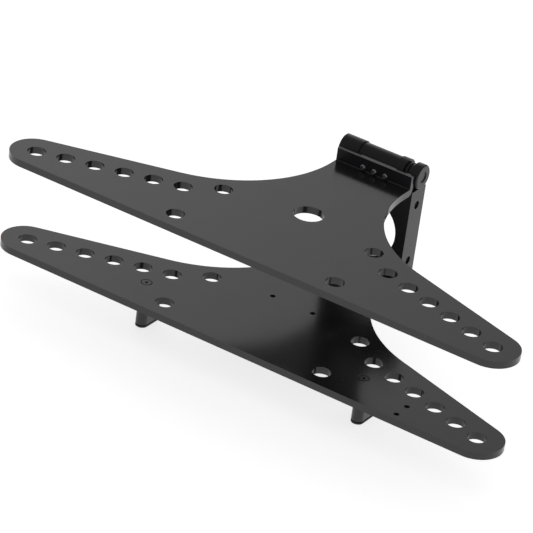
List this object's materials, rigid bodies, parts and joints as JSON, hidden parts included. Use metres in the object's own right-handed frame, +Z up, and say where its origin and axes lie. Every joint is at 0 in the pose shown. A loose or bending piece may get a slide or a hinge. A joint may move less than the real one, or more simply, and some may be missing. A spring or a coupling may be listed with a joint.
{
  "type": "pan tilt camera mount",
  "caption": "Black metal tilt mount with two swept wing plates, one above the other, joined at the back by a windowed bracket with a barrel hinge.",
  "frame": {"origin": "on the ground under the middle of the mount's overall box, at the height of the feet's undersides", "axes": "+X to the right along the plates' long straight front edges, -Y to the front, +Y to the hinge, +Z up, square to the plates"},
  "size_m": [0.3064, 0.1414, 0.0891],
  "materials": {
    "plate_coat": "semi-gloss black powder coat",
    "hinge_coat": "semi-gloss black powder coat on machined metal",
    "black_screw": "black oxide",
    "steel": "turned",
    "foot_black": "satin black",
    "bronze": "oiled bearing bronze",
    "rubber": "matte"
  },
  "bodies": {
    "base": {"lower_plate": "plate_coat", "rear_bracket": "hinge_coat", "hinge_pin": "hinge_coat", "pin_washer_1": "hinge_coat", "pin_washer_2": "hinge_coat", "pin_lock_screw": "black_screw", "bracket_screw_1": "black_screw", "bracket_screw_2": "black_screw", "bracket_screw_3": "black_screw", "bracket_screw_4": "black_screw", "side_screw_left_low": "black_screw", "side_screw_left_high": "black_screw", "side_screw_right_low": "black_screw", "side_screw_right_high": "black_screw", "foot_front_left": "foot_black", "foot_front_left_screw": "black_screw", "foot_front_left_pad": "rubber", "foot_front_right": "foot_black", "foot_front_right_screw": "black_screw", "foot_front_right_pad": "rubber", "foot_rear_left": "foot_black", "foot_rear_left_screw": "black_screw", "foot_rear_left_pad": "rubber", "foot_rear_right": "foot_black", "foot_rear_right_screw": "black_screw", "foot_rear_right_pad": "rubber"},
    "upper": {"upper_plate": "plate_coat", "centre_knuckle": "hinge_coat", "centre_bush": "bronze", "flange_screw_1": "steel", "flange_screw_2": "steel", "flange_screw_3": "steel"}
  },
  "joints": [
    {"name": "tilt", "type": "hinge", "parent": "base", "child": "upper", "pos_m": [0, 0.06385, 0.0822], "axis": [-1, 0, 0], "range_deg": [0, 180]}
  ]
}
